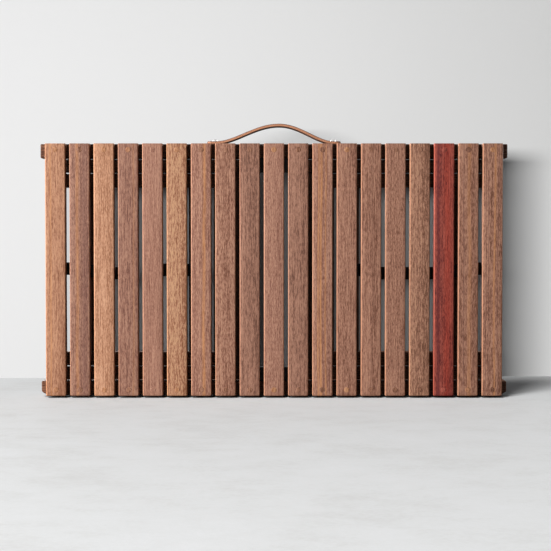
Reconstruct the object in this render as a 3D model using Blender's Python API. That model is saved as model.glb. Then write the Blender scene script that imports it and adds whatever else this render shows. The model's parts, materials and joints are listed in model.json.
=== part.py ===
"""Slatted folding table, folded and standing on one long edge as when it is carried.

X runs along the table's length, Z along the slats, and the slats' faces look towards -Y.
The folded legs lie behind the slats, between the two long rails.
The origin is under the middle of the object, at the height of the edge it stands on.
"""

import math

import bmesh
import bpy
from mathutils import Matrix, Vector

# Tabletop
SLAT_COUNT = 19
RED_SLAT = 17
SLAT_WIDTH = 0.040
SLAT_GAP = 0.008
SLAT_LENGTH = 0.500
SLAT_THICKNESS = 0.018
SLAT_EDGE_RADIUS = 0.0022
PLUG_RADIUS = 0.0053
PLUG_INSET = 0.0125
PLUG_RISE = 0.00025
PLUG_DEPTH = 0.0045
PLUG_SIDES = 12

# Rails
RAIL_OVERHANG = 0.012
RAIL_DEPTH = 0.036
RAIL_WIDTH = 0.028
RAIL_EDGE = 0.0015
RAIL_REST_CHAMFER_LENGTH = 0.011
RAIL_REST_CHAMFER_HEIGHT = 0.007

# Clearances
SEAT_GAP = 0.0003
LEG_SIDE_GAP = 0.003
LEG_SLAT_GAP = 0.002

# Legs, with distances along the table measured from its middle
LEG_DEPTH = 0.025
OUTER_LEG_WIDTH = 0.025
INNER_LEG_WIDTH = 0.027
LEG_EDGE = 0.0012
RAIL_PIVOT_X = 0.405
CROSS_PIVOT_X = 0.255
LOWER_LEG_LENGTH = 0.200
SPREAD_ANGLE = math.radians(60)
FOOT_CORNER_RADIUS = 0.003
ARC_STEPS = 8

# Crossbars, with places along the table for the folded legs
BAR_DEPTH = 0.014
BAR_WIDTH = 0.023
FOOT_BAR_WIDTH = 0.020
BAR_EDGE = 0.001
TENON_LENGTH = 0.014
TENON_SHOULDER = 0.003
OUTER_FOOT_BAR_X = 0.076
OUTER_FOOT_BAR_SHIFT = -0.003
INNER_TOP_BAR_X = 0.1085
INNER_BRACE_BAR_X = 0.1585
INNER_FOOT_BAR_X = 0.359

# Pivot bolts
BOLT_RADIUS = 0.003
BOLT_HEAD_RADIUS = 0.0060
BOLT_HEAD_HEIGHT = 0.004
BOLT_RECESS_DEPTH = 0.006
NUT_RADIUS = 0.0046
NUT_LENGTH = 0.013
NUT_FLANGE_RADIUS = 0.0070
NUT_FLANGE_HEIGHT = 0.0016
WASHER_RADIUS = 0.0085
BOLT_SIDES = 12
DOME_STEPS = 4

# Handle
HANDLE_LENGTH = 0.267
HANDLE_WIDTH = 0.024
HANDLE_THICKNESS = 0.0045
HANDLE_RISE = 0.0355
HANDLE_PEAK_X = 0.010
HANDLE_LEFT_FLAT = 0.0255
HANDLE_RIGHT_FLAT = 0.0235
HANDLE_FULLNESS = 0.65
HANDLE_END_ROUNDING = 0.009
HANDLE_END_NARROWING = 0.008
HANDLE_STATIONS = 30
HANDLE_SLOPE_STEP = 0.0005
HANDLE_SCREW_INSET = 0.0155
HANDLE_SCREW_RADIUS = 0.0021
HANDLE_SCREW_DEPTH = 0.020
HANDLE_HEAD_RADIUS = 0.0056
HANDLE_HEAD_HEIGHT = 0.0038

# Blocks that hold the tips of the outer legs when folded
CATCH_DEPTH = 0.015
CATCH_TIP_GAP = 0.0008
CATCH_EDGE = 0.001

# Webbing straps, with places along the table
STRAP_WIDTH = 0.025
STRAP_THICKNESS = 0.0014
OUTER_STRAP_FIXED_X = 0.442
OUTER_STRAP_END_X = 0.284
RIGHT_OUTER_STRAP_END_X = 0.204
INNER_STRAP_FIXED_X = 0.126
INNER_STRAP_END_X = 0.252
RIGHT_INNER_STRAP_END_X = 0.196
STRAP_SCREW_INSET = 0.010
STRAP_SCREW_RADIUS = 0.0018
STRAP_SCREW_DEPTH = 0.012
STRAP_SCREW_HEAD_RADIUS = 0.0050
STRAP_SCREW_HEAD_HEIGHT = 0.0018

SCREW_TIP_LENGTH = 0.002
SCREW_TIP_RADIUS = 0.0006

CUT_MARGIN = 0.002
HOLE_CLEARANCE = 0.0003

# Sizes that follow from those above
SLAT_PITCH = SLAT_WIDTH + SLAT_GAP
TOP_LENGTH = SLAT_COUNT * SLAT_PITCH - SLAT_GAP
RAIL_LENGTH = TOP_LENGTH + 2 * RAIL_OVERHANG
FOLDED_DEPTH = PLUG_RISE + SLAT_THICKNESS + SEAT_GAP + RAIL_DEPTH
SLAT_FRONT_Y = PLUG_RISE - FOLDED_DEPTH / 2
SLAT_BACK_Y = SLAT_FRONT_Y + SLAT_THICKNESS
RAIL_FRONT_Y = SLAT_BACK_Y + SEAT_GAP
RAIL_BACK_Y = RAIL_FRONT_Y + RAIL_DEPTH
RAIL_MIDDLE_Y = (RAIL_FRONT_Y + RAIL_BACK_Y) / 2
PIVOT_Y = SLAT_BACK_Y + LEG_SLAT_GAP + LEG_DEPTH / 2
OUTER_LEG_Z = RAIL_WIDTH + LEG_SIDE_GAP
INNER_LEG_Z = OUTER_LEG_Z + OUTER_LEG_WIDTH + LEG_SIDE_GAP
MIDDLE_Z = SLAT_LENGTH / 2
OUTER_TIP_X = CROSS_PIVOT_X - LOWER_LEG_LENGTH
UPPER_LEG_LENGTH = RAIL_PIVOT_X - CROSS_PIVOT_X
INNER_TOP_X = CROSS_PIVOT_X - UPPER_LEG_LENGTH
INNER_FOOT_X = CROSS_PIVOT_X + LOWER_LEG_LENGTH
STRAP_FRONT_Y = SLAT_BACK_Y + SEAT_GAP
STRAP_BACK_Y = STRAP_FRONT_Y + STRAP_THICKNESS
HANDLE_TOP_Z = SLAT_LENGTH + SEAT_GAP + HANDLE_THICKNESS
HANDLE_LEFT_RUN = HANDLE_LENGTH / 2 - HANDLE_LEFT_FLAT + HANDLE_PEAK_X
HANDLE_RIGHT_RUN = HANDLE_LENGTH / 2 - HANDLE_RIGHT_FLAT - HANDLE_PEAK_X
HANDLE_SCREW_X = HANDLE_LENGTH / 2 - HANDLE_SCREW_INSET

SIDES = {"left": -1, "right": 1}
ENDS = {"upper": 1, "lower": -1}

# Colours as red, green and blue of 0 to 1, light to dark
WALNUT_TONES = [
    (0.36, 0.205, 0.125),
    (0.30, 0.165, 0.105),
    (0.38, 0.225, 0.135),
    (0.27, 0.150, 0.105),
    (0.33, 0.180, 0.120),
]
PADAUK = (0.24, 0.035, 0.030)
FRAME_WALNUT = (0.22, 0.120, 0.070)
LEATHER = (0.36, 0.150, 0.070)
STEEL = (0.66, 0.66, 0.67)
BLACK_WEBBING = (0.012, 0.012, 0.013)
BLACK_RUBBER = (0.016, 0.016, 0.016)


def clear_scene():
    for obj in list(bpy.data.objects):
        bpy.data.objects.remove(obj, do_unlink=True)


def finish(name, color, roughness, metallic=0.0):
    """A Principled material with one colour."""
    made = bpy.data.materials.new(name)
    made.use_nodes = True
    shader = made.node_tree.nodes["Principled BSDF"]
    shader.inputs["Base Color"].default_value = (*color, 1.0)
    shader.inputs["Roughness"].default_value = roughness
    shader.inputs["Metallic"].default_value = metallic
    return made


def new_object(name, mesh_data, color, roughness, metallic=0.0):
    obj = bpy.data.objects.new(name, mesh_data)
    bpy.context.scene.collection.objects.link(obj)
    obj.data.materials.append(finish(name + "_finish", color, roughness, metallic))
    return obj


def mesh_from(name, form):
    """Turns a bmesh into a mesh with its faces pointing out."""
    bmesh.ops.recalc_face_normals(form, faces=form.faces)
    data = bpy.data.meshes.new(name)
    form.to_mesh(data)
    form.free()
    return data


def block(name, low, high):
    """A box mesh between two corners."""
    low = Vector(low)
    high = Vector(high)
    form = bmesh.new()
    bmesh.ops.create_cube(form, size=1.0)
    bmesh.ops.scale(form, vec=high - low, verts=form.verts)
    bmesh.ops.translate(form, vec=(low + high) / 2, verts=form.verts)
    return mesh_from(name, form)


def extruded(name, outline, start, depth_vector):
    """A closed solid from a flat outline of points, moved to start and extruded along a vector."""
    form = bmesh.new()
    verts = [form.verts.new(Vector(point) + Vector(start)) for point in outline]
    face = form.faces.new(verts)
    grown = bmesh.ops.extrude_face_region(form, geom=[face])
    moved = [item for item in grown["geom"] if isinstance(item, bmesh.types.BMVert)]
    bmesh.ops.translate(form, vec=Vector(depth_vector), verts=moved)
    return mesh_from(name, form)


def skinned(name, rings, transform=None):
    """A solid through rings that have equally many points, closed at both ends."""
    form = bmesh.new()
    loops = [[form.verts.new(Vector(point)) for point in ring] for ring in rings]
    count = len(loops[0])
    for first, second in zip(loops, loops[1:]):
        for step in range(count):
            following = (step + 1) % count
            form.faces.new((first[step], first[following], second[following], second[step]))
    form.faces.new(loops[0])
    form.faces.new(loops[-1])
    if transform:
        form.transform(transform)
    return mesh_from(name, form)


def circle(radius, height, sides):
    angles = [2 * math.pi * step / sides for step in range(sides)]
    return [(radius * math.cos(angle), radius * math.sin(angle), height) for angle in angles]


def turned(name, profile, place, pointing, sides):
    """A round solid from (radius, height) pairs, standing at place along pointing."""
    rings = [circle(radius, height, sides) for radius, height in profile]
    turn = Vector((0, 0, 1)).rotation_difference(Vector(pointing)).to_matrix().to_4x4()
    return skinned(name, rings, Matrix.Translation(Vector(place)) @ turn)


def dome(radius, height, base):
    """Pairs for a turned profile, from near a domed head's crown to its rim at base."""
    angles = [math.pi / 2 * step / DOME_STEPS for step in range(1, DOME_STEPS + 1)]
    return [(radius * math.sin(angle), base - height * math.cos(angle)) for angle in angles]


def soften(obj, width):
    """Bevels the sharp edges."""
    bevel = obj.modifiers.new("edges", "BEVEL")
    bevel.width = width
    bevel.segments = 1
    bevel.limit_method = "ANGLE"
    bevel.angle_limit = math.radians(50)


def combine(obj, tool_mesh, operation):
    """Cuts a helper shape from the object, or joins it on."""
    helper = bpy.data.objects.new(obj.name + "_" + tool_mesh.name, tool_mesh)
    bpy.context.scene.collection.objects.link(helper)
    helper.hide_render = True
    helper.display_type = "WIRE"
    boolean = obj.modifiers.new(tool_mesh.name, "BOOLEAN")
    boolean.operation = operation
    boolean.solver = "EXACT"
    boolean.object = helper
    return helper


def cut(obj, tool_mesh):
    return combine(obj, tool_mesh, "DIFFERENCE")


def shade_round(obj):
    obj.data.shade_smooth()
    obj.data.set_sharp_from_angle(angle=math.radians(35))


def hang_on(obj, hinge):
    """Parents an object to a hinge and leaves it where it is."""
    obj.parent = hinge
    obj.matrix_parent_inverse = hinge.matrix_world.inverted()


def hinge_at(name, place, parent=None):
    """An empty on a hinge's axis."""
    hinge = bpy.data.objects.new(name, None)
    bpy.context.scene.collection.objects.link(hinge)
    hinge.location = place
    bpy.context.view_layer.update()
    if parent:
        hang_on(hinge, parent)
    return hinge


def arc(centre, radius, start, end, steps):
    """Points along an arc in the plane of length and depth, angles in radians."""
    points = []
    for step in range(steps + 1):
        angle = start + (end - start) * step / steps
        points.append((centre[0] + radius * math.cos(angle), centre[1] + radius * math.sin(angle)))
    return points


def slat_middle(number):
    """The place of a slat along the table."""
    return (number - (SLAT_COUNT + 1) / 2) * SLAT_PITCH


def build_slats():
    for number in range(1, SLAT_COUNT + 1):
        middle = slat_middle(number)
        name = f"slat_{number:02d}"
        low = (middle - SLAT_WIDTH / 2, SLAT_FRONT_Y, 0)
        high = (middle + SLAT_WIDTH / 2, SLAT_BACK_Y, SLAT_LENGTH)
        color = PADAUK if number == RED_SLAT else WALNUT_TONES[number % len(WALNUT_TONES)]
        slat = new_object(name, block(name, low, high), color, 0.55)
        soften(slat, SLAT_EDGE_RADIUS)
        for height in (PLUG_INSET, SLAT_LENGTH - PLUG_INSET):
            profile = [(PLUG_RADIUS, -PLUG_RISE), (PLUG_RADIUS, PLUG_DEPTH)]
            place = (middle, SLAT_FRONT_Y, height)
            plug = turned("plug", profile, place, (0, 1, 0), PLUG_SIDES)
            combine(slat, plug, "UNION")


def rail_outline(chamfered):
    """One rail seen from the front, from its lower left corner, with its rest edge at height 0."""
    half = RAIL_LENGTH / 2
    if not chamfered:
        return [(-half, 0, 0), (half, 0, 0), (half, 0, RAIL_WIDTH), (-half, 0, RAIL_WIDTH)]
    return [
        (-half, 0, RAIL_REST_CHAMFER_HEIGHT),
        (RAIL_REST_CHAMFER_LENGTH - half, 0, 0),
        (half - RAIL_REST_CHAMFER_LENGTH, 0, 0),
        (half, 0, RAIL_REST_CHAMFER_HEIGHT),
        (half, 0, RAIL_WIDTH),
        (-half, 0, RAIL_WIDTH),
    ]


def build_rails():
    for end, sign in ENDS.items():
        name = f"rail_{end}"
        bottom = SLAT_LENGTH - RAIL_WIDTH if sign > 0 else 0
        outline = rail_outline(chamfered=sign < 0)
        shape = extruded(name, outline, (0, RAIL_FRONT_Y, bottom), (0, RAIL_DEPTH, 0))
        rail = new_object(name, shape, FRAME_WALNUT, 0.55)
        soften(rail, RAIL_EDGE)
        outer_face = MIDDLE_Z + sign * MIDDLE_Z
        for side in SIDES.values():
            place = (side * RAIL_PIVOT_X, PIVOT_Y, outer_face)
            cut(rail, stepped_hole(place, sign, RAIL_WIDTH))
            if sign > 0:
                cut(rail, handle_screw_hole((side * HANDLE_SCREW_X, RAIL_MIDDLE_Y, outer_face)))


def stepped_hole(place, sign, length):
    """A cutter for a bolt through a member, with the recess for its head at place."""
    wide = BOLT_HEAD_RADIUS + HOLE_CLEARANCE
    narrow = BOLT_RADIUS + HOLE_CLEARANCE
    profile = [
        (wide, -CUT_MARGIN),
        (wide, BOLT_RECESS_DEPTH),
        (narrow, BOLT_RECESS_DEPTH),
        (narrow, length + CUT_MARGIN),
    ]
    return turned("bolt_hole", profile, place, (0, 0, -sign), BOLT_SIDES)


def nut_hole(place, sign, length):
    """A cutter for a barrel nut from the inner face of a member, meeting the bolt's hole."""
    wide = NUT_RADIUS + HOLE_CLEARANCE
    flange = NUT_FLANGE_RADIUS + HOLE_CLEARANCE
    narrow = BOLT_RADIUS + HOLE_CLEARANCE
    profile = [
        (flange, -CUT_MARGIN),
        (flange, NUT_FLANGE_HEIGHT + HOLE_CLEARANCE),
        (wide, NUT_FLANGE_HEIGHT + HOLE_CLEARANCE),
        (wide, NUT_LENGTH + HOLE_CLEARANCE),
        (narrow, NUT_LENGTH + HOLE_CLEARANCE),
        (narrow, length + CUT_MARGIN),
    ]
    return turned("nut_hole", profile, place, (0, 0, sign), BOLT_SIDES)


def handle_screw_hole(place):
    """A cutter for a handle screw, straight down from place."""
    profile = [
        (HANDLE_SCREW_RADIUS + HOLE_CLEARANCE, -CUT_MARGIN),
        (HANDLE_SCREW_RADIUS + HOLE_CLEARANCE, HANDLE_SCREW_DEPTH + HOLE_CLEARANCE),
    ]
    return turned("screw_hole", profile, place, (0, 0, -1), BOLT_SIDES)


def pivot_bolt(name, place, sign, first, second):
    """A bolt with its washer and barrel nut, through two members of the given widths.

    place is where its axis meets the first member's outer face. The washer lies between the two.
    """
    washer_start = first + SEAT_GAP
    washer_end = first + LEG_SIDE_GAP - SEAT_GAP
    inner_face = first + LEG_SIDE_GAP + second
    head_top = BOLT_RECESS_DEPTH - SEAT_GAP
    profile = dome(BOLT_HEAD_RADIUS, BOLT_HEAD_HEIGHT, head_top) + [
        (BOLT_RADIUS, head_top),
        (BOLT_RADIUS, washer_start),
        (WASHER_RADIUS, washer_start),
        (WASHER_RADIUS, washer_end),
        (BOLT_RADIUS, washer_end),
        (BOLT_RADIUS, inner_face - NUT_LENGTH),
        (NUT_RADIUS, inner_face - NUT_LENGTH),
        (NUT_RADIUS, inner_face - NUT_FLANGE_HEIGHT),
        (NUT_FLANGE_RADIUS, inner_face - NUT_FLANGE_HEIGHT),
        (NUT_FLANGE_RADIUS, inner_face),
    ]
    shape = turned(name, profile, place, (0, 0, -sign), BOLT_SIDES)
    bolt = new_object(name, shape, STEEL, 0.3, 1.0)
    shade_round(bolt)
    return bolt


def leg_outline(pivot_end, foot_end):
    """A leg in the plane of length and depth, round at pivot_end and cut at foot_end to stand flat."""
    half = LEG_DEPTH / 2
    towards = 1 if foot_end > pivot_end else -1
    if towards > 0:
        round_end = arc((pivot_end, PIVOT_Y), half, 1.5 * math.pi, 0.5 * math.pi, ARC_STEPS)
    else:
        round_end = arc((pivot_end, PIVOT_Y), half, -0.5 * math.pi, 0.5 * math.pi, ARC_STEPS)
    setback = LEG_DEPTH / math.tan(SPREAD_ANGLE)
    sharp_front = Vector((foot_end, PIVOT_Y - half))
    sharp_back = Vector((foot_end - towards * setback, PIVOT_Y + half))
    slope = (sharp_front - sharp_back).normalized()
    along = Vector((towards, 0))
    radius = FOOT_CORNER_RADIUS
    corners = [
        sharp_back - along * radius,
        sharp_back + slope * radius,
        sharp_front - slope * radius,
        sharp_front - along * radius,
    ]
    return round_end + [tuple(corner) for corner in corners]


def leg(name, side, pivot_end, foot_end, band_low, band_high):
    outline = [(side * x, y, 0) for x, y in leg_outline(pivot_end, foot_end)]
    shape = extruded(name, outline, (0, 0, band_low), (0, 0, band_high - band_low))
    made = new_object(name, shape, FRAME_WALNUT, 0.55)
    soften(made, LEG_EDGE)
    return made


def bar_section(middle, width, shift=0.0):
    """The lowest and highest corner of a crossbar's section along the table and in depth."""
    low = (middle - width / 2, PIVOT_Y + shift - BAR_DEPTH / 2)
    high = (middle + width / 2, PIVOT_Y + shift + BAR_DEPTH / 2)
    return low, high


def mortise(side, section, inner_face, sign):
    """A cutter for a bar's tenon, in the leg's inner face."""
    (x0, y0), (x1, y1) = section
    inset = TENON_SHOULDER - HOLE_CLEARANCE
    reach = TENON_LENGTH + 2 * SEAT_GAP
    ends = sorted((inner_face - sign * CUT_MARGIN, inner_face + sign * reach))
    across = sorted((side * (x0 + inset), side * (x1 - inset)))
    return block("mortise", (across[0], y0 + inset, ends[0]), (across[1], y1 - inset, ends[1]))


def chamfered_section(low, high, height, chamfer):
    """A rectangle with cut corners, between two corners in length and depth, at one height."""
    (x0, y0), (x1, y1) = low, high
    return [
        (x0 + chamfer, y0, height),
        (x1 - chamfer, y0, height),
        (x1, y0 + chamfer, height),
        (x1, y1 - chamfer, height),
        (x1 - chamfer, y1, height),
        (x0 + chamfer, y1, height),
        (x0, y1 - chamfer, height),
        (x0, y0 + chamfer, height),
    ]


def crossbar(name, side, section, leg_inner_face):
    """A bar between two legs, with a tenon at each end. leg_inner_face is the height of the lower leg's."""
    (x0, y0), (x1, y1) = section
    across = sorted((side * x0, side * x1))
    bar = (across[0], y0), (across[1], y1)
    tenon = (
        (across[0] + TENON_SHOULDER, y0 + TENON_SHOULDER),
        (across[1] - TENON_SHOULDER, y1 - TENON_SHOULDER),
    )
    bottom = leg_inner_face + SEAT_GAP
    top = SLAT_LENGTH - bottom
    rings = [
        chamfered_section(*tenon, bottom - TENON_LENGTH, BAR_EDGE),
        chamfered_section(*tenon, bottom, BAR_EDGE),
        chamfered_section(*bar, bottom, BAR_EDGE),
        chamfered_section(*bar, top, BAR_EDGE),
        chamfered_section(*tenon, top, BAR_EDGE),
        chamfered_section(*tenon, top + TENON_LENGTH, BAR_EDGE),
    ]
    return new_object(name, skinned(name, rings), FRAME_WALNUT, 0.55)


def band(sign, low, width):
    """The heights between which a member lies, low being its distance from the edge of the table."""
    if sign < 0:
        return low, low + width
    return SLAT_LENGTH - low - width, SLAT_LENGTH - low


def build_leg_set(side_name, side):
    """The two crossing leg frames at one end of the table."""
    outer_hinge = hinge_at(f"{side_name}_outer_hinge", (side * RAIL_PIVOT_X, PIVOT_Y, MIDDLE_Z))
    inner_hinge = hinge_at(f"{side_name}_inner_hinge", (side * CROSS_PIVOT_X, PIVOT_Y, MIDDLE_Z), outer_hinge)
    outer_bars = {"outer_foot_bar": bar_section(OUTER_FOOT_BAR_X, FOOT_BAR_WIDTH, OUTER_FOOT_BAR_SHIFT)}
    inner_bars = {
        "inner_top_bar": bar_section(INNER_TOP_BAR_X, BAR_WIDTH),
        "inner_brace_bar": bar_section(INNER_BRACE_BAR_X, BAR_WIDTH),
        "inner_foot_bar": bar_section(INNER_FOOT_BAR_X, BAR_WIDTH),
    }
    outer_inner_face = OUTER_LEG_Z + OUTER_LEG_WIDTH
    inner_inner_face = INNER_LEG_Z + INNER_LEG_WIDTH
    for end, sign in ENDS.items():
        low, high = band(sign, OUTER_LEG_Z, OUTER_LEG_WIDTH)
        outer_leg = leg(f"{side_name}_outer_leg_{end}", side, RAIL_PIVOT_X, OUTER_TIP_X, low, high)
        hang_on(outer_leg, outer_hinge)
        outer_face, inner_face = (high, low) if sign > 0 else (low, high)
        rail_place = (side * RAIL_PIVOT_X, PIVOT_Y, inner_face)
        cut(outer_leg, nut_hole(rail_place, sign, OUTER_LEG_WIDTH))
        cross_place = (side * CROSS_PIVOT_X, PIVOT_Y, outer_face)
        cut(outer_leg, stepped_hole(cross_place, sign, OUTER_LEG_WIDTH))
        for section in outer_bars.values():
            cut(outer_leg, mortise(side, section, inner_face, sign))

        edge_place = (side * RAIL_PIVOT_X, PIVOT_Y, MIDDLE_Z + sign * MIDDLE_Z)
        pivot_bolt(f"{side_name}_rail_pivot_{end}", edge_place, sign, RAIL_WIDTH, OUTER_LEG_WIDTH)
        cross_name = f"{side_name}_cross_pivot_{end}"
        cross = pivot_bolt(cross_name, cross_place, sign, OUTER_LEG_WIDTH, INNER_LEG_WIDTH)
        hang_on(cross, outer_hinge)

        low, high = band(sign, INNER_LEG_Z, INNER_LEG_WIDTH)
        inner_leg = leg(f"{side_name}_inner_leg_{end}", side, INNER_TOP_X, INNER_FOOT_X, low, high)
        hang_on(inner_leg, inner_hinge)
        inner_face = low if sign > 0 else high
        cut(inner_leg, nut_hole((side * CROSS_PIVOT_X, PIVOT_Y, inner_face), sign, INNER_LEG_WIDTH))
        for section in inner_bars.values():
            cut(inner_leg, mortise(side, section, inner_face, sign))
    for name, section in outer_bars.items():
        hang_on(crossbar(f"{side_name}_{name}", side, section, outer_inner_face), outer_hinge)
    for name, section in inner_bars.items():
        hang_on(crossbar(f"{side_name}_{name}", side, section, inner_inner_face), inner_hinge)


def handle_height(x):
    """How far the strap's underside is above the rail."""
    run = HANDLE_LEFT_RUN if x < HANDLE_PEAK_X else HANDLE_RIGHT_RUN
    share = abs(x - HANDLE_PEAK_X) / run
    if share >= 1:
        return SEAT_GAP
    return SEAT_GAP + HANDLE_RISE * (0.5 + 0.5 * math.cos(math.pi * share)) ** HANDLE_FULLNESS


def handle_half_width(x):
    """Half the strap's width, rounded off towards its ends."""
    into_rounding = abs(x) - (HANDLE_LENGTH / 2 - HANDLE_END_ROUNDING)
    half = HANDLE_WIDTH / 2
    if into_rounding <= 0:
        return half
    share = min(into_rounding / HANDLE_END_ROUNDING, 1)
    return half - HANDLE_END_NARROWING * (1 - math.sqrt(1 - share * share))


def build_handle():
    """A flat strap that rises from one screw and comes down to the other."""
    half_length = HANDLE_LENGTH / 2
    places = [half_length * (2 * step / HANDLE_STATIONS - 1) for step in range(HANDLE_STATIONS + 1)]
    rounding = [0.25, 0.6]
    places += [side * (half_length - HANDLE_END_ROUNDING * share) for share in rounding for side in (-1, 1)]
    places.sort()
    nudge = HANDLE_SLOPE_STEP
    rings = []
    for x in places:
        slope = (handle_height(x + nudge) - handle_height(x - nudge)) / (2 * nudge)
        across = Vector((-slope, 0, 1)).normalized() * HANDLE_THICKNESS
        under = Vector((x, RAIL_MIDDLE_Y, SLAT_LENGTH + handle_height(x)))
        half = Vector((0, handle_half_width(x), 0))
        rings.append((under - half, under + half, under + half + across, under - half + across))
    strap = new_object("handle_strap", skinned("handle_strap", rings), LEATHER, 0.5)
    shade_round(strap)
    for side_name, side in SIDES.items():
        place = (side * HANDLE_SCREW_X, RAIL_MIDDLE_Y, HANDLE_TOP_Z + SEAT_GAP)
        cut(strap, handle_screw_hole(place))
        profile = dome(HANDLE_HEAD_RADIUS, HANDLE_HEAD_HEIGHT, 0) + [
            (HANDLE_SCREW_RADIUS, 0),
            (HANDLE_SCREW_RADIUS, HANDLE_SCREW_DEPTH - SCREW_TIP_LENGTH),
            (SCREW_TIP_RADIUS, HANDLE_SCREW_DEPTH),
        ]
        name = f"handle_screw_{side_name}"
        screw = new_object(name, turned(name, profile, place, (0, 0, -1), BOLT_SIDES), STEEL, 0.3, 1.0)
        shade_round(screw)


def build_leg_catches():
    """Black blocks between the tips of the outer legs, against the rails' inner faces."""
    half_length = OUTER_TIP_X - CATCH_TIP_GAP
    for end, sign in ENDS.items():
        low, high = band(sign, RAIL_WIDTH + SEAT_GAP, LEG_SIDE_GAP + OUTER_LEG_WIDTH - SEAT_GAP)
        name = f"leg_catch_{end}"
        front = SLAT_BACK_Y + SEAT_GAP
        shape = block(name, (-half_length, front, low), (half_length, front + CATCH_DEPTH, high))
        catch = new_object(name, shape, BLACK_RUBBER, 0.6)
        soften(catch, CATCH_EDGE)


def build_strap(name, side, fixed_x, end_x):
    """A flat strap against the slats' backs, held by a screw near fixed_x."""
    across = sorted((side * fixed_x, side * end_x))
    low = (across[0], STRAP_FRONT_Y, MIDDLE_Z - STRAP_WIDTH / 2)
    high = (across[1], STRAP_BACK_Y, MIDDLE_Z + STRAP_WIDTH / 2)
    strap = new_object(name, block(name, low, high), BLACK_WEBBING, 0.8)
    inwards = STRAP_SCREW_INSET if end_x > fixed_x else -STRAP_SCREW_INSET
    place = Vector((side * (fixed_x + inwards), STRAP_BACK_Y + SEAT_GAP, MIDDLE_Z))
    return strap, place


def build_straps():
    ends = {
        "left": (OUTER_STRAP_END_X, INNER_STRAP_END_X),
        "right": (RIGHT_OUTER_STRAP_END_X, RIGHT_INNER_STRAP_END_X),
    }
    for side_name, side in SIDES.items():
        outer_end, inner_end = ends[side_name]
        runs = {"outer": (OUTER_STRAP_FIXED_X, outer_end), "inner": (INNER_STRAP_FIXED_X, inner_end)}
        for part, (fixed_x, end_x) in runs.items():
            strap, place = build_strap(f"{side_name}_tie_strap_{part}", side, fixed_x, end_x)
            hole = [
                (STRAP_SCREW_RADIUS + HOLE_CLEARANCE, -CUT_MARGIN),
                (STRAP_SCREW_RADIUS + HOLE_CLEARANCE, STRAP_SCREW_DEPTH + HOLE_CLEARANCE),
            ]
            cut(strap, turned("strap_hole", hole, place, (0, -1, 0), BOLT_SIDES))
            slat = nearest_slat(place.x)
            cut(slat, turned(f"strap_screw_hole_{part}", hole, place, (0, -1, 0), BOLT_SIDES))
            profile = dome(STRAP_SCREW_HEAD_RADIUS, STRAP_SCREW_HEAD_HEIGHT, 0) + [
                (STRAP_SCREW_RADIUS, 0),
                (STRAP_SCREW_RADIUS, STRAP_SCREW_DEPTH - SCREW_TIP_LENGTH),
                (SCREW_TIP_RADIUS, STRAP_SCREW_DEPTH),
            ]
            name = f"{side_name}_tie_screw_{part}"
            screw = new_object(name, turned(name, profile, place, (0, -1, 0), BOLT_SIDES), STEEL, 0.35, 1.0)
            shade_round(screw)


def nearest_slat(x):
    number = min(range(1, SLAT_COUNT + 1), key=lambda candidate: abs(slat_middle(candidate) - x))
    return bpy.data.objects[f"slat_{number:02d}"]


def build_table():
    clear_scene()
    build_slats()
    build_rails()
    for side_name, side in SIDES.items():
        build_leg_set(side_name, side)
    build_handle()
    build_leg_catches()
    build_straps()
    bpy.context.view_layer.update()


build_table()
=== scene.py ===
import json
import math
from collections import namedtuple

import bmesh
import bpy
from mathutils import Matrix, Vector

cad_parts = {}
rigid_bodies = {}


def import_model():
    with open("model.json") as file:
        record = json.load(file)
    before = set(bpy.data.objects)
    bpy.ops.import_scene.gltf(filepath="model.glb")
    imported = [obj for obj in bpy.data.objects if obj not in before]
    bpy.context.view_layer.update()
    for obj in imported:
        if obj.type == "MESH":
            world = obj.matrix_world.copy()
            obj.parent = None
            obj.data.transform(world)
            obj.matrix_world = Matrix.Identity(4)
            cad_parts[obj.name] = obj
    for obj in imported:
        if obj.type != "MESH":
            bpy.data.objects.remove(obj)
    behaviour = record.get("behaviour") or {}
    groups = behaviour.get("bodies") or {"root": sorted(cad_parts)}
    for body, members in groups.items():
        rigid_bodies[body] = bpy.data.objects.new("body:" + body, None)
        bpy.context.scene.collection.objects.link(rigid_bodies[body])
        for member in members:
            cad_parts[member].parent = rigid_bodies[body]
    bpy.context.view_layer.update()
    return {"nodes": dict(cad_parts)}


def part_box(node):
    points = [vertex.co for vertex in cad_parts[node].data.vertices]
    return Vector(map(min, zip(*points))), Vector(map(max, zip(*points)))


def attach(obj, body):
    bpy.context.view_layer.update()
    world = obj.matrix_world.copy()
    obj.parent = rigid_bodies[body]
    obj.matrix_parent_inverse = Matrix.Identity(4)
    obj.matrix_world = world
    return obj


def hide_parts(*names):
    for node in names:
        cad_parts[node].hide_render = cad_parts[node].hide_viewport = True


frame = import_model()

# The looks of a slatted folding table that stands folded on its long edge, in front of a white wall.
# Metres, +Z up. The slats' faces look towards -Y, and the folded legs are behind them.

# Every turned or cut piece
SMOOTH_ANGLE = 35.0
ROUND_SIDES = 40
CUT_MARGIN = 0.002
SMALL_MARGIN = 0.001
METAL_EDGE = 0.0003

# Slats, whose places come from the frame
SLAT_EDGE_RADIUS = 0.0022
SLAT_LEAST_RADIUS = 0.0003
SLAT_TOP_RADIUS = 0.0008
SLAT_FOOT_RADIUS = 0.0029
SLAT_CORNER_STEPS = 5
PLUG_RADIUS = 0.0053
PLUG_INSET = 0.0125
PLUG_DEPTH = 0.004
PLUG_GAP = 0.00012
PLUG_RISE = 0.00025
PLUG_SIDES = 40

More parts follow.
